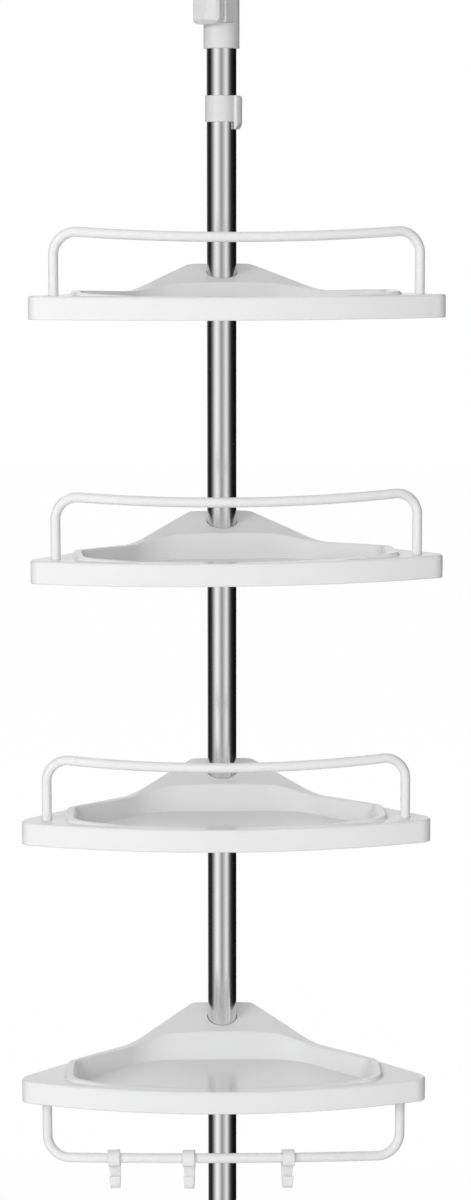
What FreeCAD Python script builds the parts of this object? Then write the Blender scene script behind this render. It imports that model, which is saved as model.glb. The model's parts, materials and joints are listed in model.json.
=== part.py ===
import FreeCAD, Part
import math
import os

V = FreeCAD.Vector

# Corner shelf unit on a tension pole. Millimetres, +Z up. The pole's axis is the Z axis and the
# floor is z = 0. The front of the shelves faces -Y and their right angle points to the room's corner.

# ---- fits and gaps ----
FIT = 0.05                # radial clearance of a sliding or turning fit
SEAT_GAP = 0.3            # clearance between curved faces of pieces that move apart
FACE_STEP = 1.0           # how far a cutter runs past the face it opens

# ---- pole tubes ----
POLE_RADIUS = 12.5
TUBE_WALL = 0.8
INNER_TUBE_RADIUS = 11.0
INNER_TUBE_LENGTH = 930.0
INNER_TUBE_OVERLAP = 180.0
LOWER_TUBE_LENGTH = 404.0
MIDDLE_TUBE_LENGTH = 434.0
UPPER_TUBE_LENGTH = 444.0

# ---- connectors between the tube sections ----
CONNECTOR_LENGTH = 56.0
CONNECTOR_WALL = 2.2

# ---- floor foot and ceiling foot ----
FOOT_RADIUS = 30.0
FOOT_RIM_HEIGHT = 5.0
FOOT_HEIGHT = 40.0
FOOT_NECK_WALL = 3.2
FOOT_GUSSETS = 8
FOOT_GUSSET_THICKNESS = 2.4
FOOT_GUSSET_TOE = 2.0
PAD_RADIUS = 28.0
PAD_THICKNESS = 4.0
PAD_PROUD = 1.5
FOOT_WEB = 4.0

# ---- sprung ceiling end ----
PLUNGER_RADIUS = 6.0
PLUNGER_TRAVEL = 30.0
PLUNGER_HEAD_HEIGHT = 8.0
GUIDE_LENGTH = 24.0
GUIDE_FLANGE_RADIUS = 14.0
GUIDE_FLANGE_HEIGHT = 5.0
SPRING_LENGTH = 72.0
SPRING_WIRE = 1.8
SPRING_TURNS = 7
SPRING_STEPS = 12
SPRING_CLEARANCE = 0.7
SPRING_SEAT_HEIGHT = 10.0
CUP_CLEARANCE = 4.0

# ---- guide bush at the inner tube's lower end ----
BUSH_LENGTH = 26.0
BUSH_FLANGE = 4.0

# ---- height clamp ----
CLAMP_RADIUS = 15.0
CLAMP_SKIRT = 25.0
CLAMP_HEIGHT = 82.0
CLAMP_RIDGE = 0.7
CLAMP_RIDGE_HEIGHT = 6.0
CLAMP_TURN = -34.0
CHEEK_HALF_WIDTH = 14.8
CHEEK_START = 20.5
CHEEK_STOP = 54.0
CLAMP_SLIT = 2.4
CLAMP_SLIT_START = 5.0
PIN_RADIUS = 2.0
PIN_HEIGHT_ABOVE_SKIRT = 62.0
EAR_RADIUS = 5.0
EAR_INNER = 4.2
EAR_THICKNESS = 4.0
LEVER_WIDTH = 26.0
LEVER_REACH = 43.0
LEVER_THICKNESS = 10.0
LEVER_WALL = 2.6
LEVER_CORNER = 4.0
LEVER_ROUND = 2.4
LEVER_RIDGE = 1.2
LEVER_END_RADIUS = 5.5
LEVER_TOE = 6.4
LEVER_TOE_SET = 2.0
LEVER_LEAN = 1.0
LEVER_HOLLOW_START = 8.0
LEVER_GAP = 0.8
CAM_RADIUS = 4.8
CAM_OFFSET = 0.7

# ---- stop collar ----
STOP_HEIGHT = 21.6
STOP_BELOW_CLAMP = 38.2
STOP_WALL = 1.3
STOP_MOUTH = 7.0
STOP_TAB_WIDTH = 12.0
STOP_TAB_REACH = 17.6
STOP_TAB_DROP = 6.0
STOP_TAB_TURN = 72.0
STOP_TAB_EASE = 2.4
STOP_TAB_BULGE = -9.0

# ---- shelves ----
SHELF_1_LEVEL = 1049.0
SHELF_2_LEVEL = 839.0
SHELF_3_LEVEL = 623.0
SHELF_4_LEVEL = 404.0
SHELF_TURNS = (6.1, 6.0, 1.7, 0.6)
SHELF_HALF_WIDTH = 167.0
SHELF_CORNER = 46.0
SHELF_REAR = 20.0
SHELF_FRONT = 165.0
SHELF_TIP_RADIUS = 11.0
SHELF_REAR_ROUND = 10.0
SHELF_WALL = 2.4
BAND_HEIGHT = 18.4
RIM_EDGE_BEVEL = 1.2

# ---- raised hood round the pole ----
HOOD_RISE = 13.9
HOOD_SLOPE = 0.354
HOOD_HALF_WIDTH = 98.0
HOOD_CROWN_DROP = 4.0
HOOD_RUN = 62.0
HOOD_EASE = 70.0

# ---- basin: bowed front, flat back panel, and sides that turn in a wide curve to follow the shelf's ----
BASIN_FLOOR = 4.5
BASIN_FLOOR_THICKNESS = 2.0
BASIN_TOP = 30.5
BASIN_PANEL_HALF_WIDTH = 38.0
BASIN_FRONT_CENTRE = 207.0
BASIN_FOOT_FRONT = 149.0
BASIN_FOOT_BACK = 36.5
BASIN_FOOT_BEND = 60.0
BASIN_FOOT_END = 117.0
BASIN_FOOT_END_RADIUS = 11.0
BASIN_RIM_FRONT = 154.0
BASIN_RIM_BACK = 26.0
BASIN_RIM_BEND = 55.0
BASIN_RIM_END = 123.0
BASIN_RIM_END_RADIUS = 15.0
BASIN_HOOD_FLARE = 9.1
BASIN_SHELL = 3.6

# ---- low lip round each end of the basin, rising outwards ----
LIP_WIDTH = 6.6
LIP_END = 132.5
LIP_END_RADIUS = 20.0
LIP_START = 80.0
LIP_SLOPE = 0.055
LIP_TAPER = 9.0

# ---- drain slots and ribs ----
SLOT_COUNT = 7
SLOT_WIDTH = 4.0
SLOT_LENGTH = 22.0
SLOT_PITCH = 22.0
SLOT_SETBACK = 8.0
RIB_THICKNESS = 1.6
RIB_PLACE_NEAR = 33.0
RIB_PLACE_FAR = 77.0
CROSS_RIB_PLACE = 74.0
HUB_RIB_REACH = 50.0

# ---- hub and the collar it stands on ----
HUB_RADIUS = 20.0
HUB_BORE_RADIUS = 16.8
HUB_BORE_DEPTH = 22.0
HUB_MOUTH_GAP = 0.3
COLLAR_DROP = 5.0
COLLAR_SLIT = 3.0

# ---- guard rails and towel bar ----
RAIL_RADIUS = 4.0
RAIL_BEND_STEPS = 6
RAIL_BAR_STEPS = 12
RAIL_SIDES = 12
RAIL_HALF_SPAN = 129.0
RAIL_END_Y = -126.0
RAIL_BOW = 15.0
RAIL_DIP = 4.0
RAIL_HEIGHT = 50.0
RAIL_BEND = 17.0
SOCKET_WALL = 2.4
SOCKET_DEPTH = 11.0
SOCKET_FIT = 0.1

# ---- towel hooks ----
HOOK_1_PLACE = -91.0
HOOK_2_PLACE = -29.0
HOOK_3_PLACE = 53.0
HOOK_TURNS = (9.0, 0.0, -2.0)
HOOK_WIDTH = 10.0
HOOK_FOOT_WIDTH = 7.6
HOOK_STRIP = 2.4
HOOK_SLACK = 1.2
HOOK_HANG = 0.45          # the clip's clearance over the bar, which leaves room for its twist
HOOK_LENGTH = 33.0
HOOK_THROAT = 8.6
HOOK_TIP_RISE = 4.0
HOOK_GRIP_ANGLE = 35.0

# ---- worked out from the sizes above ----
TUBE_BORE = POLE_RADIUS - TUBE_WALL
TUBE_START = PAD_THICKNESS + FOOT_WEB
LOWER_JOINT = TUBE_START + LOWER_TUBE_LENGTH
UPPER_JOINT = LOWER_JOINT + MIDDLE_TUBE_LENGTH
POLE_TOP = UPPER_JOINT + UPPER_TUBE_LENGTH
INNER_BOTTOM = POLE_TOP - INNER_TUBE_OVERLAP
INNER_TOP = INNER_BOTTOM + INNER_TUBE_LENGTH
INNER_BORE = INNER_TUBE_RADIUS - TUBE_WALL
GUIDE_BOTTOM = INNER_TOP - GUIDE_LENGTH
CUP_BOTTOM = INNER_TOP + GUIDE_FLANGE_HEIGHT + PLUNGER_TRAVEL + CUP_CLEARANCE
TOTAL_HEIGHT = CUP_BOTTOM + FOOT_HEIGHT
CLAMP_BOTTOM = POLE_TOP - CLAMP_SKIRT
SHELF_LEVELS = (SHELF_1_LEVEL, SHELF_2_LEVEL, SHELF_3_LEVEL, SHELF_4_LEVEL)
RIB_PLACES = (-RIB_PLACE_FAR, -RIB_PLACE_NEAR, RIB_PLACE_NEAR, RIB_PLACE_FAR)
CROSS_RIB_PLACES = (0, -CROSS_RIB_PLACE)
HOOK_PLACES = (HOOK_1_PLACE, HOOK_2_PLACE, HOOK_3_PLACE)
STOP_LEVEL = CLAMP_BOTTOM - STOP_BELOW_CLAMP - STOP_HEIGHT
PIN_LEVEL = CLAMP_BOTTOM + PIN_HEIGHT_ABOVE_SKIRT
PIN_Y = -(CLAMP_RADIUS + SEAT_GAP + CAM_RADIUS + CAM_OFFSET)


# ---- general shapes ----

def disc(radius, bottom, top, x=0.0, y=0.0):
    return Part.makeCylinder(radius, top - bottom, V(x, y, bottom))


def block(x0, x1, y0, y1, z0, z1):
    return Part.makeBox(x1 - x0, y1 - y0, z1 - z0, V(x0, y0, z0))


def turned(points):
    """A solid turned about the pole's axis from (radius, height) corners."""
    corners = [V(radius, 0, height) for radius, height in points]
    face = Part.Face(Part.makePolygon(corners + corners[:1]))
    return face.revolve(V(0, 0, 0), V(0, 0, 1), 360)


def tube(outer, inner, bottom, top):
    return turned([(inner, bottom), (outer, bottom), (outer, top), (inner, top)])


def spin(shape, degrees):
    shape.rotate(V(0, 0, 0), V(0, 0, 1), degrees)
    return shape


def save(name, shape):
    """Writes one sub-part as a STEP file."""
    shape.exportStep("parts/" + name + ".step")


# ---- pole ----

def build_pole():
    save("lower_tube", tube(POLE_RADIUS, TUBE_BORE, TUBE_START, LOWER_JOINT))
    save("middle_tube", tube(POLE_RADIUS, TUBE_BORE, LOWER_JOINT, UPPER_JOINT))
    save("upper_tube", tube(POLE_RADIUS, TUBE_BORE, UPPER_JOINT, POLE_TOP))
    save("inner_tube", tube(INNER_TUBE_RADIUS, INNER_BORE, INNER_BOTTOM, INNER_TOP))


def connector(level):
    """Short spigot inside the tubes that lines up two sections."""
    outer = TUBE_BORE - FIT
    half = CONNECTOR_LENGTH / 2
    return tube(outer, outer - CONNECTOR_WALL, level - half, level + half)


def build_connectors():
    pair = [connector(LOWER_JOINT), connector(UPPER_JOINT)]
    save("tube_connectors", Part.makeCompound(pair))


# ---- floor foot and ceiling foot ----

def foot_cup(neck_bore):
    """Round foot on a rubber pad: a rimmed disc, a socket for the tube or rod, and gussets."""
    neck = neck_bore + FOOT_NECK_WALL
    disc_top = PAD_PROUD + FOOT_RIM_HEIGHT
    floor = PAD_THICKNESS + FOOT_WEB
    cup = disc(FOOT_RADIUS, PAD_PROUD, floor).fuse(disc(neck, floor, FOOT_HEIGHT))
    for index in range(FOOT_GUSSETS):
        cup = cup.fuse(spin(foot_gusset(neck, disc_top), index * 360 / FOOT_GUSSETS))
    cup = cup.cut(disc(PAD_RADIUS + FIT, PAD_PROUD - FACE_STEP, PAD_THICKNESS))
    return cup.cut(disc(neck_bore, floor, FOOT_HEIGHT + FACE_STEP)).removeSplitter()


def foot_gusset(neck, disc_top):
    """Triangular web between the foot's disc and its neck."""
    half = FOOT_GUSSET_THICKNESS / 2
    root = neck - FOOT_NECK_WALL / 2
    toe = FOOT_RADIUS - FOOT_GUSSET_TOE
    web = Part.Face(Part.makePolygon([
        V(root, -half, disc_top),
        V(toe, -half, disc_top),
        V(toe, -half, disc_top + FOOT_GUSSET_TOE),
        V(neck, -half, FOOT_HEIGHT - FOOT_RIM_HEIGHT),
        V(root, -half, FOOT_HEIGHT - FOOT_RIM_HEIGHT),
        V(root, -half, disc_top),
    ]))
    return web.extrude(V(0, FOOT_GUSSET_THICKNESS, 0))


def foot_pad():
    """Rubber disc that presses on the floor or the ceiling."""
    return disc(PAD_RADIUS, 0, PAD_THICKNESS)


def hang_from_ceiling(shape):
    """Turns a foot piece upside down and lifts it to the ceiling."""
    shape.rotate(V(0, 0, 0), V(1, 0, 0), 180)
    shape.translate(V(0, 0, TOTAL_HEIGHT))
    return shape


def build_feet():
    save("floor_pad", foot_pad())
    save("floor_cup", foot_cup(POLE_RADIUS + FIT))
    save("ceiling_pad", hang_from_ceiling(foot_pad()))
    save("ceiling_cup", hang_from_ceiling(foot_cup(PLUNGER_RADIUS + FIT)))


# ---- sprung ceiling end ----

def build_plunger():
    head = INNER_BORE - SEAT_GAP
    head_top = GUIDE_BOTTOM
    rod_top = TOTAL_HEIGHT - PAD_THICKNESS - FOOT_WEB
    plunger = turned([
        (0, head_top - PLUNGER_HEAD_HEIGHT),
        (head, head_top - PLUNGER_HEAD_HEIGHT),
        (head, head_top),
        (PLUNGER_RADIUS, head_top),
        (PLUNGER_RADIUS, rod_top),
        (0, rod_top),
    ])
    save("plunger", plunger)
    bore = PLUNGER_RADIUS + FIT
    plug = INNER_BORE - FIT
    guide = turned([
        (bore, GUIDE_BOTTOM),
        (plug, GUIDE_BOTTOM),
        (plug, INNER_TOP),
        (GUIDE_FLANGE_RADIUS, INNER_TOP),
        (GUIDE_FLANGE_RADIUS, INNER_TOP + GUIDE_FLANGE_HEIGHT),
        (bore, INNER_TOP + GUIDE_FLANGE_HEIGHT),
    ])
    save("plunger_guide", guide)


def wire_corners(index, coil, bottom, rise):
    """Corners of the spring's square wire at one step along its helix."""
    wire = SPRING_WIRE / 2
    angle = 2 * math.pi * index / SPRING_STEPS
    level = bottom + wire + rise * index / (SPRING_TURNS * SPRING_STEPS)
    corners = []
    for radius, height in ((-wire, -wire), (wire, -wire), (wire, wire), (-wire, wire)):
        corner = polar(coil + radius, angle)
        corner.z = level + height
        corners.append(corner)
    return corners


def facet(*corners):
    return Part.Face(Part.makePolygon(list(corners) + [corners[0]]))


def build_plunger_spring():
    """Compression spring of square wire between its seat and the plunger's head."""
    bottom = GUIDE_BOTTOM - PLUNGER_HEAD_HEIGHT - SPRING_LENGTH
    coil = INNER_BORE - SPRING_CLEARANCE - SPRING_WIRE / 2
    rise = SPRING_LENGTH - SPRING_WIRE
    steps = SPRING_TURNS * SPRING_STEPS
    rings = [wire_corners(index, coil, bottom, rise) for index in range(steps + 1)]
    faces = [facet(*rings[0]), facet(*rings[steps])]
    for near, far in zip(rings, rings[1:]):
        for side in range(len(near)):
            after = (side + 1) % len(near)
            faces.append(facet(near[side], near[after], far[after]))
            faces.append(facet(near[side], far[after], far[side]))
    save("plunger_spring", Part.Solid(Part.Shell(faces)))
    spigot = coil - SPRING_WIRE / 2 - SEAT_GAP
    seat = disc(INNER_BORE - FIT, bottom - SPRING_SEAT_HEIGHT, bottom)
    seat = seat.fuse(disc(spigot, bottom, bottom + SPRING_SEAT_HEIGHT / 2))
    save("spring_seat", seat.removeSplitter())


# ---- guide bush ----

def build_guide_bush():
    """Plastic bush in the inner tube's lower end that keeps it central in the outer tube."""
    plug = INNER_BORE - FIT
    slide = TUBE_BORE - FIT
    bore = plug - CONNECTOR_WALL
    bush = turned([
        (bore, INNER_BOTTOM - BUSH_FLANGE),
        (slide, INNER_BOTTOM - BUSH_FLANGE),
        (slide, INNER_BOTTOM),
        (plug, INNER_BOTTOM),
        (plug, INNER_BOTTOM + BUSH_LENGTH),
        (bore, INNER_BOTTOM + BUSH_LENGTH),
    ])
    save("guide_bush", bush)


# ---- height clamp, drawn with its lever facing the front and then turned ----

def cross_pin(radius, half_length):
    return Part.makeCylinder(radius, 2 * half_length, V(-half_length, PIN_Y, PIN_LEVEL), V(1, 0, 0))


def clamp_body():
    """Collar on the outer tube whose split upper part closes on the inner tube."""
    top = CLAMP_BOTTOM + CLAMP_HEIGHT
    ridge = CLAMP_RADIUS + CLAMP_RIDGE
    outer_bore = POLE_RADIUS + FIT
    inner_bore = INNER_TUBE_RADIUS + FIT
    body = turned([
        (outer_bore, CLAMP_BOTTOM),
        (CLAMP_RADIUS, CLAMP_BOTTOM),
        (CLAMP_RADIUS, top - CLAMP_RIDGE_HEIGHT),
        (ridge, top - CLAMP_RIDGE_HEIGHT),
        (ridge, top),
        (inner_bore, top),
        (inner_bore, POLE_TOP),
        (outer_bore, POLE_TOP),
    ])
    body = body.fuse([clamp_cheeks(outer_bore, inner_bore)] + [clamp_ear(side) for side in (-1, 1)])
    slit_floor = POLE_TOP + CLAMP_SLIT_START
    slit = block(-CLAMP_SLIT / 2, CLAMP_SLIT / 2, -ridge - FACE_STEP, 0, slit_floor, top + FACE_STEP)
    body = body.cut(slit)
    body = body.cut(cross_pin(PIN_RADIUS + FIT, LEVER_WIDTH))
    return body.removeSplitter()


def clamp_cheeks(outer_bore, inner_bore):
    """Flat-sided front of the clamp, behind the lever."""
    foot = CLAMP_BOTTOM + CHEEK_START
    stop = CLAMP_BOTTOM + CHEEK_STOP
    body = block(-CHEEK_HALF_WIDTH, CHEEK_HALF_WIDTH, -CLAMP_RADIUS, 0, foot, stop)
    low = disc(outer_bore, CLAMP_BOTTOM, POLE_TOP)
    high = disc(inner_bore, CLAMP_BOTTOM, CLAMP_BOTTOM + CLAMP_HEIGHT)
    return body.cut([low, high])


def clamp_ear(side):
    """Lug beside the slit that carries the lever's pin."""
    inner = side * EAR_INNER
    outer = side * (EAR_INNER + EAR_THICKNESS)
    low = min(inner, outer)
    eye = Part.makeCylinder(EAR_RADIUS, EAR_THICKNESS, V(low, PIN_Y, PIN_LEVEL), V(1, 0, 0))
    root = (POLE_RADIUS + CLAMP_RADIUS) / 2
    anchor = -math.sqrt(root ** 2 - (EAR_INNER + EAR_THICKNESS) ** 2)
    web = block(low, low + EAR_THICKNESS, PIN_Y, anchor, PIN_LEVEL - EAR_RADIUS, PIN_LEVEL + EAR_RADIUS)
    return eye.fuse(web)


def clamp_lever():
    """Flip lever: a hollow handle that hangs over the collar, with an eccentric cam at its pin."""
    half = LEVER_WIDTH / 2
    inner_y = -(CLAMP_RADIUS + LEVER_GAP)
    outer_y = inner_y - LEVER_THICKNESS
    low = PIN_LEVEL - LEVER_REACH
    shoulder = PIN_LEVEL - EAR_RADIUS
    side_view = Part.makePolygon([
        V(-half, inner_y, low + LEVER_TOE),
        V(-half, inner_y - LEVER_TOE_SET, low),
        V(-half, outer_y + LEVER_CORNER, low),
        V(-half, outer_y, low + LEVER_CORNER),
        V(-half, outer_y + LEVER_LEAN, shoulder),
        V(-half, PIN_Y - EAR_RADIUS, PIN_LEVEL),
        V(-half, PIN_Y, PIN_LEVEL),
        V(-half, inner_y, shoulder),
        V(-half, inner_y, low + LEVER_TOE),
    ])
    handle = Part.Face(side_view).extrude(V(LEVER_WIDTH, 0, 0))
    handle = handle.common(lever_plan(half, inner_y, outer_y, low)).common(lever_front(half, outer_y, low))
    handle = handle.fuse(cross_pin(EAR_RADIUS, half))
    hollow = block(
        -half + LEVER_WALL, half - LEVER_WALL,
        outer_y + LEVER_WALL + LEVER_LEAN, inner_y + FACE_STEP,
        low + LEVER_HOLLOW_START, shoulder - LEVER_WALL,
    )
    handle = handle.cut(hollow)
    slot_low = PIN_LEVEL - EAR_RADIUS - 2 * LEVER_GAP
    slot_high = PIN_LEVEL + EAR_RADIUS + FACE_STEP
    for side in (-1, 1):
        near = side * (EAR_INNER - SEAT_GAP)
        far = side * (EAR_INNER + EAR_THICKNESS + SEAT_GAP)
        slot = block(
            min(near, far), max(near, far),
            outer_y - FACE_STEP, inner_y + LEVER_THICKNESS,
            slot_low, slot_high,
        )
        handle = handle.cut(slot)
    relief = block(
        -(EAR_INNER - SEAT_GAP), EAR_INNER - SEAT_GAP,
        PIN_Y - EAR_RADIUS - FACE_STEP, inner_y + LEVER_THICKNESS,
        slot_low, slot_high,
    )
    handle = handle.cut(relief)
    cam_half = EAR_INNER - SEAT_GAP
    cam = Part.makeCylinder(
        CAM_RADIUS, 2 * cam_half, V(-cam_half, PIN_Y + CAM_OFFSET, PIN_LEVEL), V(1, 0, 0))
    neck = block(
        -cam_half, cam_half,
        PIN_Y - CAM_RADIUS + CAM_OFFSET, PIN_Y + CAM_OFFSET,
        slot_low - LEVER_WALL, PIN_LEVEL,
    )
    handle = handle.fuse(cam).fuse(neck)
    handle = handle.cut(cross_pin(PIN_RADIUS + FIT, LEVER_WIDTH))
    return handle.removeSplitter()


def lever_plan(half, inner_y, outer_y, low):
    """The lever seen from above: a shallow ridge down the middle of its front and eased edges."""
    side = Part.Face(Part.makePolygon([
        V(-half, inner_y + LEVER_CORNER, low),
        V(half, inner_y + LEVER_CORNER, low),
        V(half, outer_y + LEVER_ROUND + LEVER_RIDGE, low),
        V(half - LEVER_ROUND, outer_y + LEVER_RIDGE, low),
        V(0, outer_y, low),
        V(LEVER_ROUND - half, outer_y + LEVER_RIDGE, low),
        V(-half, outer_y + LEVER_ROUND + LEVER_RIDGE, low),
        V(-half, inner_y + LEVER_CORNER, low),
    ]))
    return side.extrude(V(0, 0, LEVER_REACH + EAR_RADIUS))


def lever_front(half, outer_y, low):
    """The lever seen from the front: its free end has rounded corners."""
    top = PIN_LEVEL + EAR_RADIUS
    eased = half - LEVER_END_RADIUS
    knee = low + LEVER_END_RADIUS
    slant = LEVER_END_RADIUS * (1 - SLANT)
    outline = Part.Wire([
        line(V(half, outer_y, top), V(half, outer_y, knee)),
        arc(V(half, outer_y, knee), V(half - slant, outer_y, low + slant), V(eased, outer_y, low)),
        line(V(eased, outer_y, low), V(-eased, outer_y, low)),
        arc(V(-eased, outer_y, low), V(slant - half, outer_y, low + slant), V(-half, outer_y, knee)),
        line(V(-half, outer_y, knee), V(-half, outer_y, top)),
        line(V(-half, outer_y, top), V(half, outer_y, top)),
    ])
    return Part.Face(outline).extrude(V(0, LEVER_THICKNESS + CLAMP_RADIUS, 0))


def build_clamp():
    save("clamp_body", spin(clamp_body(), CLAMP_TURN))
    save("clamp_lever", spin(clamp_lever(), CLAMP_TURN))
    save("lever_pin", spin(cross_pin(PIN_RADIUS, LEVER_WIDTH / 2), CLAMP_TURN))


# ---- stop collar ----

def build_stop_collar():
    """Snap-on open ring with a thumb tab."""
    bore = POLE_RADIUS + FIT
    outer = bore + STOP_WALL
    top = STOP_LEVEL + STOP_HEIGHT
    collar = tube(outer, bore, STOP_LEVEL, top)
    half = STOP_TAB_WIDTH / 2
    tab = Part.Face(Part.makePolygon([
        V(-half, -bore, top),
        V(-half, -STOP_TAB_REACH + STOP_TAB_EASE, top),
        V(-half, -STOP_TAB_REACH, top - STOP_TAB_EASE),
        V(-half, -STOP_TAB_REACH, STOP_LEVEL),
        V(-half, -outer, STOP_LEVEL - STOP_TAB_DROP),
        V(-half, -bore, STOP_LEVEL - STOP_TAB_DROP),
        V(-half, -bore, top),
    ])).extrude(V(STOP_TAB_WIDTH, 0, 0))
    bulge = disc(STOP_TAB_REACH + STOP_TAB_BULGE, STOP_LEVEL - STOP_TAB_DROP, top, 0, STOP_TAB_BULGE)
    tab = tab.common(bulge)
    collar = collar.fuse(tab.cut(disc(bore, STOP_LEVEL - STOP_TAB_DROP - FACE_STEP, top + FACE_STEP)))
    mouth = block(-STOP_MOUTH / 2, STOP_MOUTH / 2, 0, outer + FACE_STEP,
                  STOP_LEVEL - FACE_STEP, top + FACE_STEP)
    collar = collar.cut(mouth).removeSplitter()
    save("stop_collar", spin(collar, STOP_TAB_TURN))


# ---- shelf moulding, drawn with its underside at z = 0 ----

SLANT = math.sqrt(0.5)
EIGHTH = math.radians(45)


def polar(radius, angle):
    return V(radius * math.cos(angle), radius * math.sin(angle), 0)


def mirrored(point):
    return V(-point.x, point.y, point.z)


def line(start, end):
    return Part.makeLine(start, end)


def arc(start, middle, end):
    return Part.Arc(start, middle, end).toShape()


def bow_radius(half_width, corner, front, tip_radius):
    """Radius of the front bow that runs tangent into both tips."""
    tip_x = half_width - tip_radius
    reach = corner - tip_x - tip_radius / SLANT + front
    return (tip_x ** 2 + reach ** 2 - tip_radius ** 2) / (2 * (reach - tip_radius))


def corner_outline(half_width, corner, front, tip_radius, rear, rear_radius, level):
    """Plan of a corner shelf: bowed front, rounded tips, sides at 45 degrees and a short rear flat."""
    bow = bow_radius(half_width, corner, front, tip_radius)
    bow_centre = V(0, bow - front, level)
    tip = V(half_width - tip_radius, corner - half_width + tip_radius - tip_radius / SLANT, level)
    lean = math.atan2(tip.y - bow_centre.y, tip.x)
    trim = rear_radius * math.tan(EIGHTH / 2)
    rear_centre = V(corner - rear - trim, rear - rear_radius, level)
    front_end = bow_centre + polar(bow, lean)
    tip_middle = tip + polar(tip_radius, (lean + EIGHTH) / 2)
    side_start = tip + polar(tip_radius, EIGHTH)
    side_end = rear_centre + polar(rear_radius, EIGHTH)
    rear_middle = rear_centre + polar(rear_radius, 1.5 * EIGHTH)
    rear_end = rear_centre + polar(rear_radius, 2 * EIGHTH)
    edges = [
        arc(mirrored(front_end), V(0, -front, level), front_end),
        arc(front_end, tip_middle, side_start),
        line(side_start, side_end),
        arc(side_end, rear_middle, rear_end),
        line(rear_end, mirrored(rear_end)),
        arc(mirrored(rear_end), mirrored(rear_middle), mirrored(side_end)),
        line(mirrored(side_end), mirrored(side_start)),
        arc(mirrored(side_start), mirrored(tip_middle), mirrored(front_end)),
    ]
    return Part.Wire(edges)


def shelf_prism(inset, bottom, top):
    """The shelf's plan, moved in by inset all round, as an upright prism."""
    wire = corner_outline(
        SHELF_HALF_WIDTH - inset, SHELF_CORNER - inset / SLANT, SHELF_FRONT - inset,
        SHELF_TIP_RADIUS - inset, SHELF_REAR - inset, SHELF_REAR_ROUND - inset, bottom)
    return Part.Face(wire).extrude(V(0, 0, top - bottom))


def basin_wire(level, back, bend, end, end_radius, front, drawn):
    """Plan of the basin at one level: flat back panel, wide bends, sides, rounded ends and bowed front."""
    bend_centre = V(BASIN_PANEL_HALF_WIDTH, -back - bend, level)
    panel_end = bend_centre + V(0, bend, 0)
    side_start = bend_centre + polar(bend, EIGHTH)
    corner_x = end - end_radius
    away = side_start - polar(end_radius, EIGHTH)
    corner = V(corner_x, away.y + away.x - corner_x, level)
    bow_centre = V(0, BASIN_FRONT_CENTRE, level)
    bow = BASIN_FRONT_CENTRE + front
    heel_y = bow_centre.y - math.sqrt((bow - end_radius) ** 2 - corner_x ** 2)
    heel = V(corner_x, heel_y, level)
    heel_lean = math.atan2(heel.y - bow_centre.y, heel.x)
    front_end = heel + polar(end_radius, heel_lean)
    side_end = corner + polar(end_radius, EIGHTH)
    across = V(end_radius, 0, 0)
    turns = [
        (panel_end, bend_centre + polar(bend, 1.5 * EIGHTH), side_start),
        (side_end, corner + polar(end_radius, EIGHTH / 2), corner + across),
        (heel + across, heel + polar(end_radius, heel_lean / 2), front_end),
    ]
    return closed_plan(turns, V(0, bow_centre.y - bow, level), drawn)


def closed_plan(turns, front, drawn):
    """Symmetric outline through the turns of its right half, closed by a bowed front and a straight back."""
    left = [(mirrored(stop), mirrored(middle), mirrored(start)) for start, middle, stop in reversed(turns)]
    bow = (turns[-1][-1], front, left[0][0])
    corners = turns + [bow] + left
    edges = []
    for index, (start, middle, stop) in enumerate(corners):
        before = corners[index - 1][-1]
        if before != start:
            edges.append(line(before, start))
        edges += drawn(start, middle, stop)
    return Part.Wire(edges)


def curved(start, middle, stop):
    return [arc(start, middle, stop)]


def kinked(start, middle, stop):
    return [line(start, middle), line(middle, stop)]


def basin_foot(outset, level, drawn):
    """The basin's plan at its floor, moved out by outset all round."""
    return basin_wire(
        level, BASIN_FOOT_BACK - outset, BASIN_FOOT_BEND + outset,
        BASIN_FOOT_END + outset, BASIN_FOOT_END_RADIUS + outset, BASIN_FOOT_FRONT + outset, drawn)


def basin_rim(outset, level, drawn):
    """The basin's plan where it meets the rim, moved out by outset all round."""
    return basin_wire(
        level, BASIN_RIM_BACK - outset, BASIN_RIM_BEND + outset,
        BASIN_RIM_END + outset, BASIN_RIM_END_RADIUS + outset, BASIN_RIM_FRONT + outset, drawn)


def basin_plug(outset, floor, drawn):
    """Solid that fills the basin from a floor up to above the hood."""
    wires = [
        basin_foot(outset, floor, drawn),
        basin_rim(outset, BAND_HEIGHT, drawn),
        basin_rim(outset + BASIN_HOOD_FLARE, BASIN_TOP, drawn),
    ]
    return Part.makeLoft(wires, True, True)


def lip_outline(inset, level):
    """Plan of the lips' outer edge at one level, moved in by inset."""
    width = LIP_WIDTH - inset
    return basin_wire(
        level, BASIN_RIM_BACK - width, BASIN_RIM_BEND + width,
        LIP_END - inset, LIP_END_RADIUS - inset, BASIN_RIM_FRONT + width, curved)


def basin_lips():
    """Pair of low lips round the basin's ends, before the basin is cut."""
    body = Part.makeLoft([lip_outline(0, BAND_HEIGHT), lip_outline(LIP_TAPER, BASIN_TOP)], True, True)
    reach = SHELF_HALF_WIDTH - LIP_START
    lips = []
    for side in (-1, 1):
        wedge = facet(
            V(side * LIP_START, -SHELF_FRONT, BAND_HEIGHT),
            V(side * SHELF_HALF_WIDTH, -SHELF_FRONT, BAND_HEIGHT + reach * LIP_SLOPE),
            V(side * SHELF_HALF_WIDTH, -SHELF_FRONT, BAND_HEIGHT))
        lips.append(wedge.extrude(V(0, SHELF_FRONT, 0)).common(body))
    return lips


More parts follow.
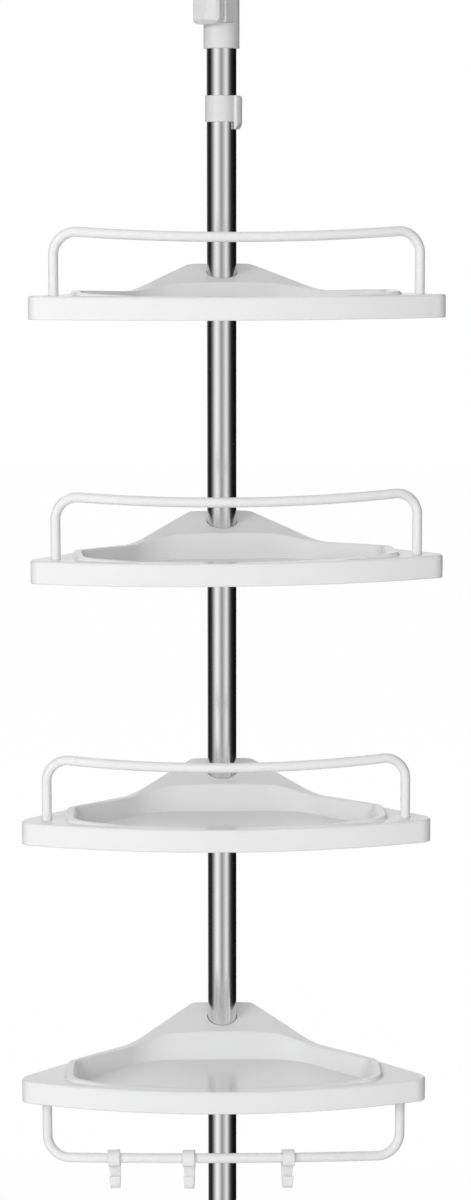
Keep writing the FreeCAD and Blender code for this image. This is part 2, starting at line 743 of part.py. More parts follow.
def hood_wedge(inset):
    """Wedge whose top face falls towards the front from the rear flat, with a slight crown."""
    start = SHELF_REAR + FACE_STEP
    crest = BAND_HEIGHT + HOOD_RISE + HOOD_SLOPE * start - inset * math.hypot(1, HOOD_SLOPE)
    shoulder = crest - HOOD_CROWN_DROP
    half = HOOD_HALF_WIDTH
    low = -BAND_HEIGHT
    section = Part.Wire([
        arc(V(-half, start, shoulder), V(0, start, crest), V(half, start, shoulder)),
        line(V(half, start, shoulder), V(half, start, low)),
        line(V(half, start, low), V(-half, start, low)),
        line(V(-half, start, low), V(-half, start, shoulder)),
    ])
    run = start + HOOD_RUN
    return Part.Face(section).extrude(V(0, -run, -run * HOOD_SLOPE))


def shelf_envelope(inset, bottom):
    """The shelf's outside form, or with an inset the hollow under it."""
    lift = inset if bottom < 0 else 0
    tall = BAND_HEIGHT + HOOD_RISE + HOOD_SLOPE * SHELF_REAR + FACE_STEP
    rim = shelf_prism(inset, bottom, BAND_HEIGHT - lift)
    hood = hood_wedge(lift).common(shelf_prism(inset, 0, tall))
    return rim.fuse(hood).removeSplitter()


def is_rim_edge(edge):
    """True for the outer top edges of the band and the hood."""
    box = edge.BoundBox
    if box.ZMin < BAND_HEIGHT - FIT:
        return False
    middle = edge.valueAt((edge.FirstParameter + edge.LastParameter) / 2)
    inner = shelf_prism(SHELF_WALL, 0, BAND_HEIGHT)
    return not inner.isInside(V(middle.x, middle.y, BAND_HEIGHT / 2), FIT, True)


def is_hood_crease(edge):
    """True for the edge where the hood's slope meets the flat rim."""
    box = edge.BoundBox
    level = abs(box.ZMin - BAND_HEIGHT) + abs(box.ZMax - BAND_HEIGHT) < FIT
    return level and box.YMin > -HOOD_RUN and box.YMax < 0


def front_of_basin(x):
    """The basin floor's front edge at a given x."""
    return BASIN_FRONT_CENTRE - math.sqrt((BASIN_FRONT_CENTRE + BASIN_FOOT_FRONT) ** 2 - x ** 2)


def drain_slots():
    """Row of long slots along the front of the basin's floor."""
    slots = []
    half = SLOT_WIDTH / 2
    for index in range(SLOT_COUNT):
        x = (index - (SLOT_COUNT - 1) / 2) * SLOT_PITCH
        near = front_of_basin(x) + SLOT_SETBACK
        slots.append(block(x - half, x + half, near, near + SLOT_LENGTH, -FACE_STEP, BASIN_FLOOR + FACE_STEP))
    return slots


def stiffening_ribs(tall):
    """Ribs under the floor and in the hollow of the hood, before they are trimmed to the shelf."""
    half = RIB_THICKNESS / 2
    ribs = []
    for x in RIB_PLACES:
        ribs.append(block(x - half, x + half, -SHELF_FRONT, SHELF_REAR, 0, tall))
    for y in CROSS_RIB_PLACES:
        ribs.append(block(-SHELF_HALF_WIDTH, SHELF_HALF_WIDTH, y - half, y + half, 0, tall))
    ribs.append(block(-half, half, -HUB_RIB_REACH, 0, 0, tall))
    return ribs


def hub_bore(tall):
    """Socket that sits over the support collar, with the pole's mouth above it."""
    mouth = POLE_RADIUS + HUB_MOUTH_GAP
    socket = disc(HUB_BORE_RADIUS, -FACE_STEP, HUB_BORE_DEPTH)
    return socket.fuse(disc(mouth, HUB_BORE_DEPTH, tall + FACE_STEP))


def rail_sockets(outer, bottom, top):
    """Upright pair of cylinders where the rail's legs stand."""
    leg = rail_leg()
    return [disc(outer, bottom, top, side * leg.x, leg.y) for side in (-1, 1)]


def shelf_moulding():
    """One-piece corner shelf without its socket holes."""
    outside = shelf_envelope(0, 0)
    tall = outside.BoundBox.ZMax
    outside = outside.makeFillet(HOOD_EASE, [e for e in outside.Edges if is_hood_crease(e)])
    outside = outside.makeChamfer(RIM_EDGE_BEVEL, [e for e in outside.Edges if is_rim_edge(e)])
    hollow = shelf_envelope(SHELF_WALL, -FACE_STEP)
    inside = [
        basin_plug(BASIN_SHELL, BASIN_FLOOR - BASIN_FLOOR_THICKNESS, kinked),
        disc(HUB_RADIUS, 0, tall),
    ]
    inside += stiffening_ribs(tall)
    inside += rail_sockets(RAIL_RADIUS + SOCKET_FIT + SOCKET_WALL, 0, BAND_HEIGHT)
    core = inside[0].multiFuse(inside[1:]).common(outside)
    shell = outside.cut(hollow).fuse([core] + basin_lips())
    cutters = [basin_plug(0, BASIN_FLOOR, curved), hub_bore(tall)] + drain_slots()
    return shell.cut(cutters).removeSplitter()


# ---- guard rails and towel bar, drawn above a rim at z = 0 ----

def rail_bar():
    """The bar's long arc, bowed forward and dipping slightly at its middle."""
    end = V(RAIL_HALF_SPAN, RAIL_END_Y, RAIL_HEIGHT)
    middle = V(0, RAIL_END_Y - RAIL_BOW, RAIL_HEIGHT - RAIL_DIP)
    return Part.Arc(mirrored(end), middle, end)


def rail_bend():
    """Start, middle and end of the bend from the bar's right end down into its leg."""
    bar = rail_bar()
    start = bar.value(bar.LastParameter)
    along = bar.tangent(bar.LastParameter)[0]
    inward = along * along.z - V(0, 0, 1)
    inward.normalize()
    outward = V(along.x, along.y, 0)
    outward.normalize()
    centre = start + inward * RAIL_BEND
    half_way = outward - inward
    half_way.normalize()
    return start, centre + half_way * RAIL_BEND, centre + outward * RAIL_BEND


def rail_leg():
    """Where the right leg stands."""
    return rail_bend()[2]


def rail_line():
    """The rod's centre line in short lengths: left leg, bend, bar, bend and right leg."""
    start, middle, end = rail_bend()
    bend = Part.Arc(start, middle, end).discretize(RAIL_BEND_STEPS + 1)
    bar = rail_bar().discretize(RAIL_BAR_STEPS + 1)
    foot = V(end.x, end.y, -SOCKET_DEPTH)
    left = [mirrored(point) for point in reversed(bend + [foot])]
    return left + bar[1:-1] + bend + [foot]


def rail():
    """Coated rod whose many-sided section is mitred from one length to the next."""
    route = rail_line()
    ring = [route[0] + polar(RAIL_RADIUS, 2 * math.pi * side / RAIL_SIDES) for side in range(RAIL_SIDES)]
    rings = [ring]
    for before, here, after in zip(route, route[1:], route[2:]):
        along = here - before
        onward = after - here
        along.normalize()
        onward.normalize()
        mitre = along + onward
        ring = [corner + along * (mitre.dot(here - corner) / mitre.dot(along)) for corner in ring]
        rings.append(ring)
    rings.append([corner - V(0, 0, corner.z + SOCKET_DEPTH) for corner in ring])
    faces = [facet(*rings[0]), facet(*rings[-1])]
    for near, far in zip(rings, rings[1:]):
        for side in range(RAIL_SIDES):
            after = (side + 1) % RAIL_SIDES
            faces.append(facet(near[side], near[after], far[after], far[side]))
    return Part.Solid(Part.Shell(faces))


# ---- support collar ----

def support_collar():
    """Split collar that grips the pole. The shelf's hub turns on it and rests on its top face."""
    outer = HUB_BORE_RADIUS - SEAT_GAP
    collar = tube(outer, POLE_RADIUS + FIT, -COLLAR_DROP, HUB_BORE_DEPTH)
    half = COLLAR_SLIT / 2
    slit = block(-half, half, 0, outer + FACE_STEP, -COLLAR_DROP - FACE_STEP, HUB_BORE_DEPTH + FACE_STEP)
    return collar.cut(slit)


# ---- towel hooks ----

def hook_profile(x):
    """Side view of a hook round a bar whose axis is at y = 0, z = 0: clip, shank and upturned tip."""
    grip = RAIL_RADIUS + HOOK_SLACK
    outer = grip + HOOK_STRIP
    eye = HOOK_HANG - HOOK_SLACK
    bend = HOOK_THROAT / 2
    bend_outer = bend + HOOK_STRIP
    bend_y = outer - bend_outer
    bend_z = eye + outer - HOOK_LENGTH + bend_outer
    tip_z = bend_z + HOOK_TIP_RISE
    tip_y = bend_y - bend - HOOK_STRIP / 2
    lip = math.radians(180 + HOOK_GRIP_ANGLE)

    def at(y, z):
        return V(x, y, z)

    lip_outer = at(outer * math.cos(lip), eye + outer * math.sin(lip))
    lip_inner = at(grip * math.cos(lip), eye + grip * math.sin(lip))
    return Part.Wire([
        arc(lip_outer, at(0, eye + outer), at(outer, eye)),
        line(at(outer, eye), at(outer, bend_z)),
        arc(at(outer, bend_z), at(bend_y, bend_z - bend_outer), at(bend_y - bend_outer, bend_z)),
        line(at(bend_y - bend_outer, bend_z), at(bend_y - bend_outer, tip_z)),
        arc(at(bend_y - bend_outer, tip_z), at(tip_y, tip_z + HOOK_STRIP / 2), at(bend_y - bend, tip_z)),
        line(at(bend_y - bend, tip_z), at(bend_y - bend, bend_z)),
        arc(at(bend_y - bend, bend_z), at(bend_y, bend_z - bend), at(grip, bend_z)),
        line(at(grip, bend_z), at(grip, eye)),
        arc(at(grip, eye), at(0, eye + grip), lip_inner),
        line(lip_inner, lip_outer),
    ])


def hook():
    """Moulded hook whose strip narrows towards a rounded foot."""
    half = HOOK_WIDTH / 2
    foot = HOOK_FOOT_WIDTH / 2
    strip = Part.Face(hook_profile(-half)).extrude(V(HOOK_WIDTH, 0, 0))
    reach = RAIL_RADIUS + HOOK_SLACK + HOOK_STRIP + HOOK_THROAT
    top = HOOK_HANG + RAIL_RADIUS + HOOK_STRIP
    low = top - HOOK_LENGTH
    waist = -(RAIL_RADIUS + HOOK_STRIP)
    front_view = Part.Wire([
        line(V(half, -reach, top + FACE_STEP), V(half, -reach, waist)),
        line(V(half, -reach, waist), V(foot, -reach, low)),
        line(V(foot, -reach, low), V(-foot, -reach, low)),
        line(V(-foot, -reach, low), V(-half, -reach, waist)),
        line(V(-half, -reach, waist), V(-half, -reach, top + FACE_STEP)),
        line(V(-half, -reach, top + FACE_STEP), V(half, -reach, top + FACE_STEP)),
    ])
    return strip.common(Part.Face(front_view).extrude(V(0, 2 * reach, 0)))


def bar_station(x):
    """Point and direction of the inverted towel bar's axis at x, under a shelf at z = 0."""
    points = rail_line()
    for near, far in zip(points, points[1:]):
        if near.x <= x < far.x:
            along = far - near
            point = near + along * ((x - near.x) / along.x)
            along.normalize()
            return V(point.x, point.y, -point.z), V(along.x, along.y, -along.z)
    raise ValueError("no bar at %g" % x)


def build_hooks(level, turn):
    for number, (x, twist) in enumerate(zip(HOOK_PLACES, HOOK_TURNS), start=1):
        point, along = bar_station(x)
        piece = hook()
        yaw = math.degrees(math.atan2(along.y, along.x))
        dip = math.degrees(math.atan2(along.z, along.x))
        piece.rotate(V(0, 0, 0), V(0, 1, 0), -dip)
        piece.rotate(V(0, 0, 0), V(0, 0, 1), yaw + twist)
        piece.translate(point + V(0, 0, level))
        save("hook_%d" % number, spin(piece, turn))


# ---- shelves on the pole ----

def build_shelves():
    moulding = shelf_moulding()
    lowest = len(SHELF_LEVELS)
    socket = RAIL_RADIUS + SOCKET_FIT
    for number, (level, turn) in enumerate(zip(SHELF_LEVELS, SHELF_TURNS), start=1):
        bar = rail()
        if number == lowest:
            holes = rail_sockets(socket, -FACE_STEP, SOCKET_DEPTH)
            bar = bar.mirror(V(0, 0, 0), V(0, 0, 1))
            name = "towel_bar"
        else:
            holes = rail_sockets(socket, BAND_HEIGHT - SOCKET_DEPTH, BAND_HEIGHT + FACE_STEP)
            bar.translate(V(0, 0, BAND_HEIGHT))
            name = "guard_rail_%d" % number
        shelf = moulding.cut(holes)
        lift = V(0, 0, level)
        for piece in (shelf, bar):
            piece.translate(lift)
        collar = support_collar()
        collar.translate(lift)
        save("shelf_%d" % number, spin(shelf, turn))
        save(name, spin(bar, turn))
        save("support_collar_%d" % number, collar)
    build_hooks(SHELF_LEVELS[-1], SHELF_TURNS[-1])


os.makedirs("parts", exist_ok=True)
build_pole()
build_connectors()
build_feet()
build_guide_bush()
build_plunger()
build_plunger_spring()
build_clamp()
build_stop_collar()
build_shelves()
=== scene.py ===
import bpy
import json
import math
from typing import NamedTuple
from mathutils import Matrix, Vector


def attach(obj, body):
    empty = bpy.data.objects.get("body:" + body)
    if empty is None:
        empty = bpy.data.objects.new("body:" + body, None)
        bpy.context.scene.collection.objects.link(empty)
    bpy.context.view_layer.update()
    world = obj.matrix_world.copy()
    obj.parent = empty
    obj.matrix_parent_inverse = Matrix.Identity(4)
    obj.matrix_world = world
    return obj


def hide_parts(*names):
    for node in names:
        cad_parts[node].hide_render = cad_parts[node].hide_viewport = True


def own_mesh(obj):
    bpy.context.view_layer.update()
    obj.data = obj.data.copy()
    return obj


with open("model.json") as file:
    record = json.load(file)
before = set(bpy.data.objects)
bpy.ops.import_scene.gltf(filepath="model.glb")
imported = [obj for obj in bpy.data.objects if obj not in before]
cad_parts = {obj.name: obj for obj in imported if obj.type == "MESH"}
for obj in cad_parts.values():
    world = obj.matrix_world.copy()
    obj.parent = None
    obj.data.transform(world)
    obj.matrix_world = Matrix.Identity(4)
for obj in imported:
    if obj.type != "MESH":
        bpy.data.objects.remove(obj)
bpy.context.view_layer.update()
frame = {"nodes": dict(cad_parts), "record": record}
scene = bpy.context.scene

# The tension pole shelf unit. Lengths are in metres. The pole's axis is x = y = 0 with +Z up, and the trays'
# fronts face -Y. The CAD solids stay as they are and where they are. This script gives them materials, puts
# round rods and a round spring in place of the faceted ones, closes the front walls of the basins, and
# adds the camera, the light and the floor.

# ---------------------------------------------------------------- picture and camera
PICTURE_HEIGHT = 1200.0              # pixels
FOCAL_PIXELS = 2764.0                # focal length in pixels of the picture
SENSOR = 24.0                        # millimetres, for the picture's height
CAMERA_PLACE = (0.0, -2.331, 1.158)
CAMERA_PITCH = 8.65                  # degrees below the horizon
CAMERA_YAW = -0.286                  # degrees
CLIP_START = 0.05
CLIP_END = 60.0

camera_data = bpy.data.cameras.new("camera")
camera_data.sensor_fit = "VERTICAL"
camera_data.sensor_height = SENSOR
camera_data.lens = SENSOR * FOCAL_PIXELS / PICTURE_HEIGHT
camera_data.clip_start = CLIP_START
camera_data.clip_end = CLIP_END
camera = bpy.data.objects.new("camera", camera_data)
scene.collection.objects.link(camera)
camera.location = CAMERA_PLACE
camera.rotation_euler = (math.radians(90.0 - CAMERA_PITCH), 0.0, math.radians(CAMERA_YAW))
scene.camera = camera
scene.view_settings.view_transform = "Standard"

# ---------------------------------------------------------------- shader nodes
EDGE_SAMPLES = 6
FULL_TURN = 2 * math.pi


class Noise(NamedTuple):
    """Fractal noise in object space. The stretch multiplies the coordinates, axis by axis."""
    scale: float
    detail: float = 3.0
    roughness: float = 0.5
    stretch: tuple = (1.0, 1.0, 1.0)


class Graph:
    """Adds shader nodes to one node tree and links them."""

    def __init__(self, owner):
        owner.use_nodes = True
        self.tree = owner.node_tree
        self.tree.nodes.clear()

    def add(self, kind, inputs=None, **properties):
        """A node with its properties set. Each input takes a plain value or another node's output."""
        node = self.tree.nodes.new("ShaderNode" + kind)
        for name, value in properties.items():
            setattr(node, name, value)
        for key, value in (inputs or {}).items():
            if isinstance(value, bpy.types.NodeSocket):
                self.tree.links.new(value, node.inputs[key])
            else:
                node.inputs[key].default_value = value
        return node

    def math(self, operation, first, second, **properties):
        return self.add("Math", {0: first, 1: second}, operation=operation, **properties).outputs[0]

    def spread(self, value, low, high, start=0.0, end=1.0, ease="LINEAR"):
        """Runs from low to high while the value runs from start to end, and stays there past them."""
        node = self.add("MapRange", {
            "Value": value, "From Min": start, "From Max": end, "To Min": low, "To Max": high,
        }, interpolation_type=ease)
        return node.outputs[0]

    def colour(self, factor, first, second):
        node = self.add("Mix", {"Factor": factor, "A": first, "B": second}, data_type="RGBA")
        return node.outputs["Result"]

    def blend(self, factor, first, second):
        """A shader between two others."""
        return self.add("MixShader", {0: factor, 1: first.outputs[0], 2: second.outputs[0]})

    def place(self):
        return self.add("TexCoord").outputs["Object"]

    def noise(self, noise):
        place = self.add("Mapping", {"Vector": self.place(), "Scale": noise.stretch}).outputs["Vector"]
        node = self.add("TexNoise", {
            "Vector": place, "Scale": noise.scale, "Detail": noise.detail, "Roughness": noise.roughness,
        })
        return node.outputs["Fac"]

    def relief(self, height, strength, distance, edge):
        """Bumps on the surface, and on edges that are rounded off by the radius edge, if one is given."""
        inputs = {"Height": height, "Strength": strength, "Distance": distance}
        if edge:
            inputs["Normal"] = self.add("Bevel", {"Radius": edge}, samples=EDGE_SAMPLES).outputs["Normal"]
        return self.add("Bump", inputs).outputs["Normal"]

    def seen(self, rays):
        """1 for rays that come from the camera, straight or through a clear material, and 0 for others."""
        direct, through = rays.outputs["Is Camera Ray"], rays.outputs["Is Transmission Ray"]
        return self.math("ADD", direct, through, use_clamp=True)


def grey(level):
    return (level, level, level, 1.0)


# ---------------------------------------------------------------- materials
def finish(name, tones, rough, bump, cloud, haze=None, grain=None, edge=None, **base):
    """A material with noise in its colour (cloud), its roughness (haze) and its relief (grain).

    Tones are the two colours, rough is the least and most roughness, and bump is the relief's strength and
    depth. Haze and grain follow the cloud where they aren't given. Edge is the radius that softens edges.
    """
    material = bpy.data.materials.new(name)
    graph = Graph(material)
    clouds = graph.noise(cloud)
    hazes = graph.noise(haze) if haze else clouds
    grains = graph.noise(grain) if grain else clouds
    dull, bright = tones
    shader = graph.add("BsdfPrincipled", {
        "Base Color": graph.colour(clouds, (*dull, 1.0), (*bright, 1.0)),
        "Roughness": graph.spread(hazes, *rough),
        "Normal": graph.relief(grains, *bump, edge),
        **base,
    })
    graph.add("OutputMaterial", {"Surface": shader.outputs[0]})
    return material


def white_plastic(name, tones):
    """Glossy injection-moulded plastic: faint flow clouding, handling haze and orange peel."""
    return finish(
        name, tones, rough=(0.16, 0.22), bump=(0.05, 0.0004), cloud=Noise(9.0),
        haze=Noise(38.0, 4.0, 0.6), grain=Noise(420.0, 2.0), edge=0.0016, IOR=1.5)


WHITE = white_plastic("white_plastic_gloss", ((0.885, 0.887, 0.89), (0.903, 0.904, 0.904)))
# The clamp's pieces take a darker copy of the white plastic: partly their own greyer plastic, partly painted
# shade.
CLAMP_GREY_AND_PAINTED_SHADE = white_plastic("clamp_plastic_grey_and_painted_shade", ((0.755, 0.757, 0.76), (0.785, 0.786, 0.786)))

# Dipped white coating on a steel rod: smooth, slightly wavy along its length.
COATING = finish(
    "white_coating", ((0.88, 0.88, 0.88), (0.925, 0.925, 0.923)), rough=(0.22, 0.34), bump=(0.10, 0.0005),
    cloud=Noise(22.0), haze=Noise(60.0), grain=Noise(110.0, 2.0), IOR=1.49)

# Polished stainless tube: fine lengthwise polishing lines and faint smudges.
STAINLESS = finish(
    "polished_stainless", ((0.86, 0.86, 0.86), (0.91, 0.91, 0.91)), rough=(0.15, 0.19), bump=(0.02, 0.0001),
    cloud=Noise(1.0, 4.0, 0.6, (14.0, 14.0, 9.0)), grain=Noise(1.0, 3.0, 0.6, (900.0, 900.0, 6.0)),
    Metallic=1.0)

# Moulded grey rubber with a fine mat grain.
RUBBER = finish(
    "grey_rubber", ((0.075, 0.075, 0.078), (0.12, 0.12, 0.122)), rough=(0.68, 0.85), bump=(0.35, 0.0002),
    cloud=Noise(60.0, 4.0), grain=Noise(1400.0, 2.0), edge=0.0008)

# Self-coloured nylon: slightly waxy, and warmer than the white mouldings.
NYLON = finish(
    "natural_nylon", ((0.74, 0.73, 0.69), (0.80, 0.79, 0.76)), rough=(0.40, 0.55), bump=(0.12, 0.0003),
    cloud=Noise(40.0), grain=Noise(700.0, 2.0), edge=0.0005, IOR=1.53)

# Zinc-plated steel: mottled and satin.
PLATED_STEEL = finish(
    "plated_steel", ((0.56, 0.57, 0.60), (0.70, 0.71, 0.72)), rough=(0.22, 0.40), bump=(0.08, 0.0002),
    cloud=Noise(160.0, 4.0, 0.6), edge=0.0004, Metallic=1.0)

# Drawn spring wire: dark and oiled, with draw marks.
SPRING_STEEL = finish(
    "spring_steel", ((0.30, 0.30, 0.31), (0.48, 0.48, 0.50)), rough=(0.28, 0.45), bump=(0.10, 0.0002),
    cloud=Noise(300.0, 4.0, 0.6), edge=0.0004, Metallic=1.0)

FINISHES = {
    "white_plastic": WHITE,
    "white_coated_wire": COATING,
    "stainless_tube": STAINLESS,
    "grey_rubber": RUBBER,
    "natural_nylon": NYLON,
    "plated_steel": PLATED_STEEL,
    "spring_steel": SPRING_STEEL,
}
# Pieces that take the darker clamp plastic, which is partly painted shade.
CLAMP_PIECES = ("clamp_body", "clamp_lever", "stop_collar")

for entry in frame["record"]["subparts"]:
    node = frame["nodes"][entry["node"]]
    material = CLAMP_GREY_AND_PAINTED_SHADE if entry["node"] in CLAMP_PIECES else FINISHES[entry["material_slot"]]
    if not node.material_slots:
        node.data.materials.append(material)
    for slot in node.material_slots:
        slot.material = material


# ---------------------------------------------------------------- meshes
def add_mesh(name, vertices, faces, material):
    mesh = bpy.data.meshes.new(name)
    mesh.from_pydata(vertices, [], faces)
    mesh.update()
    mesh.materials.append(material)
    piece = bpy.data.objects.new(name, mesh)
    scene.collection.objects.link(piece)
    return piece


def sweep(rings):
    """Vertices and faces of a body through rings of points, closed by a cap at each end.

    Seen from the first ring toward the last, each ring runs clockwise.
    """
    count = len(rings[0])
    vertices = [point for ring in rings for point in ring]
    last = len(vertices) - count
    faces = []
    for start in range(0, last, count):
        for side in range(count):
            a = start + side
            b = start + (side + 1) % count
            faces.append((a, b, b + count, a + count))
    faces.append(tuple(range(count - 1, -1, -1)))
    faces.append(tuple(range(last, last + count)))
    return vertices, faces


def round_rod(name, route, radius, sides, material):
    """A smooth round rod along a route of points, closed by flat ends."""
    across = (route[1] - route[0]).normalized().orthogonal().normalized()
    rings = []
    for index, point in enumerate(route):
        near = route[max(index - 1, 0)]
        far = route[min(index + 1, len(route) - 1)]
        along = (far - near).normalized()
        across = (across - along * across.dot(along)).normalized()
        other = along.cross(across)
        angles = [FULL_TURN * step / sides for step in range(sides)]
        rings.append([point + (across * math.cos(a) + other * math.sin(a)) * radius for a in angles])
    rod = add_mesh(name, *sweep(rings), material)
    rod.data.polygons.foreach_set("use_smooth", [len(face.vertices) == 4 for face in rod.data.polygons])
    return rod


# ---------------------------------------------------------------- trays
LEVELS = (1.049, 0.839, 0.623, 0.404)    # undersides of the trays, top to bottom
TURNS = (6.1, 6.0, 1.7, 0.6)             # degrees that each tray is turned on the pole
BAND = 0.0184                            # height of a tray's rim
TRAYS = list(enumerate(zip(LEVELS, TURNS), start=1))


def turned(point, degrees):
    """The point turned about the pole's axis."""
    angle = math.radians(degrees)
    x, y, z = point
    return Vector((x * math.cos(angle) - y * math.sin(angle), x * math.sin(angle) + y * math.cos(angle), z))


# ---------------------------------------------------------------- guard rails and towel bar
ROD_RADIUS = 0.004
ROD_SIDES = 28
SPAN = 0.129             # from the middle to the rail's end
END_Y = -0.126           # y of its ends
BOW = 0.015              # how much farther to the front its middle is
DIP = 0.004              # how much lower its middle is
RISE = 0.050             # from the rim up to the ends
BEND = 0.017             # radius of the bends into the legs
SOCKET = 0.011           # depth of the legs in the tray
BAR_STEPS = 48
BEND_STEPS = 12
LEG_SHARES = (0.3, 0.6, 0.85, 1.0)


def bow(half_span, depth, count):
    """Points (x, d) along a circular arc through both ends at d = 0 and depth d at x = 0."""
    radius = (half_span ** 2 + depth ** 2) / (2 * depth)
    half_angle = math.asin(half_span / radius)
    points = []
    for index in range(count + 1):
        angle = half_angle * (2 * index / count - 1)
        points.append((radius * math.sin(angle), radius * math.cos(angle) - radius + depth))
    return points


def rail_route():
    """The guard rail's centre line above a rim at z = 0, from its left foot to its right foot."""
    fall = math.hypot(BOW, DIP)
    bar = [Vector((x, END_Y - BOW * d / fall, RISE - DIP * d / fall)) for x, d in bow(SPAN, fall, BAR_STEPS)]
    along = (bar[-1] - bar[-2]).normalized()
    inward = (along * along.z - Vector((0, 0, 1))).normalized()
    outward = Vector((along.x, along.y, 0)).normalized()
    centre = Vector((SPAN, END_Y, RISE)) + inward * BEND
    right = []
    for index in range(BEND_STEPS + 1):
        angle = math.pi / 2 * index / BEND_STEPS
        right.append(centre - inward * BEND * math.cos(angle) + outward * BEND * math.sin(angle))
    knee = right[-1]
    foot = Vector((knee.x, knee.y, -SOCKET))
    right += [knee + (foot - knee) * share for share in LEG_SHARES]
    left = [Vector((-point.x, point.y, point.z)) for point in reversed(right)]
    return left[:-1] + bar + right[1:]


RAIL_ROUTE = rail_route()
for number, (level, turn) in TRAYS:
    # The lowest tray has the same rod turned over, below its rim, as a towel bar.
    lowest = number == len(TRAYS)
    sign = -1.0 if lowest else 1.0
    base = level if lowest else level + BAND
    route = [turned((point.x, point.y, base + sign * point.z), turn) for point in RAIL_ROUTE]
    name = "towel_bar" if lowest else "guard_rail_%d" % number
    rod = round_rod(name + "_rod", route, ROD_RADIUS, ROD_SIDES, COATING)
    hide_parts(name)
    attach(rod, "tray_%d" % number)


# ---------------------------------------------------------------- basin fronts
# The basin's front wall leans between two arcs round one centre. The solid is open there about half way to
# each side, and this strip makes the wall whole. Heights are above the tray's underside.
BOW_CENTRE = 0.207           # y of the arcs' centre
FOOT_RADIUS = 0.356          # the wall at the basin's floor
RIM_RADIUS = 0.361           # the wall at the rim
BASIN_FLOOR = 0.0045
FLOOR_UNDERSIDE = 0.0025
STRIP_SWEEP = 17.8           # degrees to each side
STRIP_STEPS = 54
STRIP_PROUD = 0.00012        # in front of the wall, so that the two don't share a face
STRIP_THICK = 0.0015
STRIP_TOE = 0.0012           # reach of its toe inside the floor
STRIP_EASE = 0.0008          # height of the slope between wall and toe
STRIP_SINK = 0.00005         # depth inside the faces of the rim and the floor


def strip_profile():
    """Section (radius, height) of the strip: a leaning wall with an eased toe in the floor's thickness."""
    lean = (RIM_RADIUS - FOOT_RADIUS) / (BAND - BASIN_FLOOR)
    foot = FOOT_RADIUS - STRIP_PROUD
    top = BAND - STRIP_SINK
    head = foot + lean * (top - BASIN_FLOOR)
    toe = foot - STRIP_TOE
    ledge = BASIN_FLOOR - STRIP_SINK
    low = FLOOR_UNDERSIDE + STRIP_SINK
    return [
        (head + STRIP_THICK, top), (foot + STRIP_THICK, low), (toe, low), (toe, ledge),
        (foot + lean * STRIP_EASE, BASIN_FLOOR + STRIP_EASE), (head, top),
    ]


def strip_rings(level, turn):
    """The strip's section at each step round the bowed front of one tray."""
    rings = []
    for step in range(STRIP_STEPS + 1):
        angle = math.radians(STRIP_SWEEP * (2 * step / STRIP_STEPS - 1))
        rings.append([
            turned((radius * math.sin(angle), BOW_CENTRE - radius * math.cos(angle), level + height), turn)
            for radius, height in strip_profile()])
    return rings


for number, (level, turn) in TRAYS:
    strip = add_mesh("basin_front_%d" % number, *sweep(strip_rings(level, turn)), WHITE)
    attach(strip, "tray_%d" % number)


# ---------------------------------------------------------------- plunger spring
COIL_BOTTOM = 1.936          # top of the spring seat
COIL_LENGTH = 0.072
COIL_RADIUS = 0.0086         # to the middle of the wire
COIL_WIRE = 0.0009           # radius of the wire
COIL_GAP = 0.00005           # at each end
COIL_TURNS = 7
COIL_STEPS = 40              # in each turn
COIL_SIDES = 12


def coil_route():
    """The wire's centre line, from the spring seat up to the plunger's head."""
    low = COIL_BOTTOM + COIL_WIRE + COIL_GAP
    rise = COIL_LENGTH - 2 * (COIL_WIRE + COIL_GAP)
    count = COIL_TURNS * COIL_STEPS
    points = []
    for index in range(count + 1):
        angle = FULL_TURN * index / COIL_STEPS
        points.append(Vector((
            COIL_RADIUS * math.cos(angle), COIL_RADIUS * math.sin(angle), low + rise * index / count)))
    return points


coil = round_rod("plunger_coil", coil_route(), COIL_WIRE, COIL_SIDES, SPRING_STEEL)
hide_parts("plunger_spring")
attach(coil, "inner_pole")
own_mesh(coil)


# ---------------------------------------------------------------- lamps
LAMPS = (
    # name, place, point it faces, width and height, watts
    ("key", (-2.2, -2.4, 1.7), (0, 0, 0.7), (1.4, 1.8), 29.0),
    ("front", (-0.1, -3.2, 1.5), (0, 0, 0.6), (2.2, 1.8), 23.0),
    ("rear", (0.5, 2.9, 1.9), (0, 0, 0.8), (2.0, 1.6), 22.0),
)


def add_lamp(name, place, target, size, power):
    """A soft box that lights the object. What gloss mirrors is the studio below, and not the lamps."""
    data = bpy.data.lights.new(name, "AREA")
    data.shape = "RECTANGLE"
    data.size, data.size_y = size
    data.energy = power
    lamp = bpy.data.objects.new(name, data)
    scene.collection.objects.link(lamp)
    lamp.location = place
    aim = Vector(target) - Vector(place)
    lamp.rotation_euler = aim.to_track_quat("-Z", "Y").to_euler()
    lamp.visible_glossy = False


for lamp in LAMPS:
    add_lamp(*lamp)

# ---------------------------------------------------------------- studio
# The grey that rays meet by their bearing round the object: a white wall behind, dark flags at both sides,
# and two soft boxes in front. 0 degrees is the front, and negative bearings are to the left.
STUDIO = (
    (-180, 1.0), (-164, 1.0), (-148, 0.12), (-116, 0.01), (-90, 0.02), (-68, 0.36), (-52, 0.86),
    (-40, 1.0), (-26, 0.84), (-6, 0.34), (3, 0.33), (22, 0.66), (36, 0.90), (46, 0.64),
    (62, 0.16), (80, 0.02), (120, 0.002), (156, 0.004), (166, 0.8), (180, 1.0),
)
CEILING = 0.50               # grey of the soft ceiling
CEILING_START = 0.45         # z of a ray's direction, of 1 at most, at which the ceiling begins
CEILING_END = 0.80           # and at which the ray meets nothing else


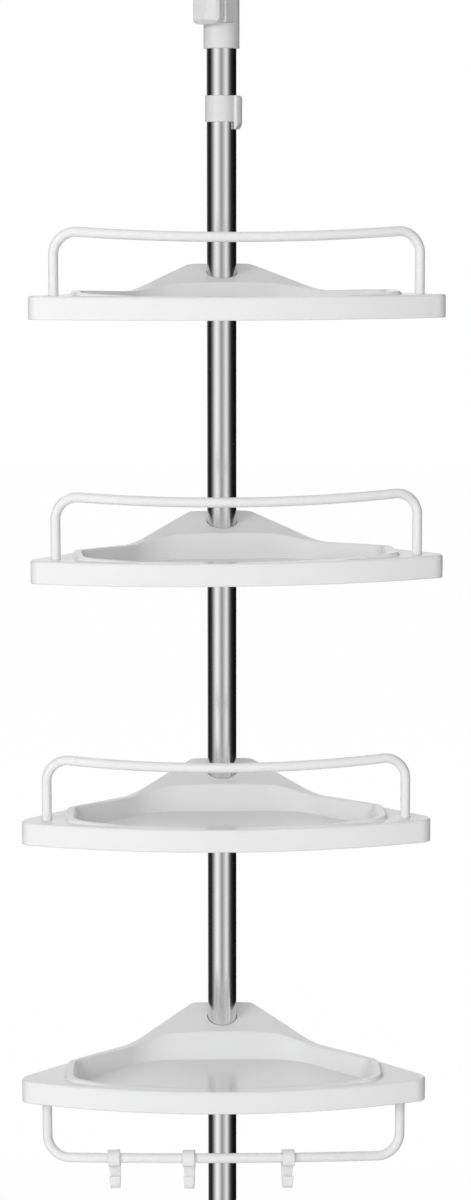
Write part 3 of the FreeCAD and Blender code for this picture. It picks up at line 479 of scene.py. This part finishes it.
def studio_world():
    """White for the camera, and the studio for all other rays."""
    world = bpy.data.worlds.new("studio")
    graph = Graph(world)
    ray = graph.add("SeparateXYZ", {0: graph.add("TexCoord").outputs["Generated"]})
    front = graph.math("MULTIPLY", ray.outputs["Y"], -1.0)
    bearing = graph.math("DIVIDE", graph.math("ARCTAN2", ray.outputs["X"], front), FULL_TURN)
    ramp = graph.add("ValToRGB", {0: graph.math("ADD", bearing, 0.5)})
    stops = ramp.color_ramp.elements
    while len(stops) < len(STUDIO):
        stops.new(0.5)
    for stop, (degrees, level) in zip(stops, STUDIO):
        stop.position = degrees / 360 + 0.5
        stop.color = grey(level)
    height = graph.spread(ray.outputs["Z"], 0.0, 1.0, CEILING_START, CEILING_END, "SMOOTHSTEP")
    studio = graph.add("Background", {"Color": graph.colour(height, ramp.outputs["Color"], grey(CEILING))})
    white = graph.add("Background", {"Color": grey(1.0)})
    result = graph.blend(graph.seen(graph.add("LightPath")), studio, white)
    graph.add("OutputWorld", {"Surface": result.outputs[0]})
    return world


scene.world = studio_world()

# ---------------------------------------------------------------- floor
FLOOR_REACH = 9.0
FLOOR_GREYS = (0.80, 0.84)
FLOOR_CLOUD = Noise(3.0)
GLOW_NEAR, GLOW_FAR = 0.84, 0.988    # share of plain white near the pole, where a painted grey pool and the real shadows show, and beyond
FADE_START, FADE_END = 0.20, 0.90    # distances from the pole between which the share grows


def floor_material():
    """A pale matt floor, mostly plain white to the camera, with a painted grey pool round the pole where the
    real shadows also show. Gloss doesn't mirror it.
    """
    material = bpy.data.materials.new("pale_floor")
    graph = Graph(material)
    rays = graph.add("LightPath")
    dark, light = FLOOR_GREYS
    matt = graph.add("BsdfDiffuse", {"Color": graph.colour(graph.noise(FLOOR_CLOUD), grey(dark), grey(light))})
    glow = graph.add("Emission", {"Strength": 1.0})
    distance = graph.add("VectorMath", {0: graph.place()}, operation="LENGTH").outputs["Value"]
    # Less plain white near the pole paints a grey pool round the foot; the matt floor's real shadows show
    # there too.
    share = graph.spread(distance, GLOW_NEAR, GLOW_FAR, FADE_START, FADE_END, "SMOOTHSTEP")
    pale = graph.blend(graph.math("MULTIPLY", graph.seen(rays), share), matt, glow)
    result = graph.blend(rays.outputs["Is Glossy Ray"], pale, graph.add("BsdfTransparent"))
    graph.add("OutputMaterial", {"Surface": result.outputs[0]})
    return material


corners = [(x * FLOOR_REACH, y * FLOOR_REACH, 0) for x, y in ((-1, -1), (1, -1), (1, 1), (-1, 1))]
floor = add_mesh("floor", corners, [(0, 1, 2, 3)], floor_material())
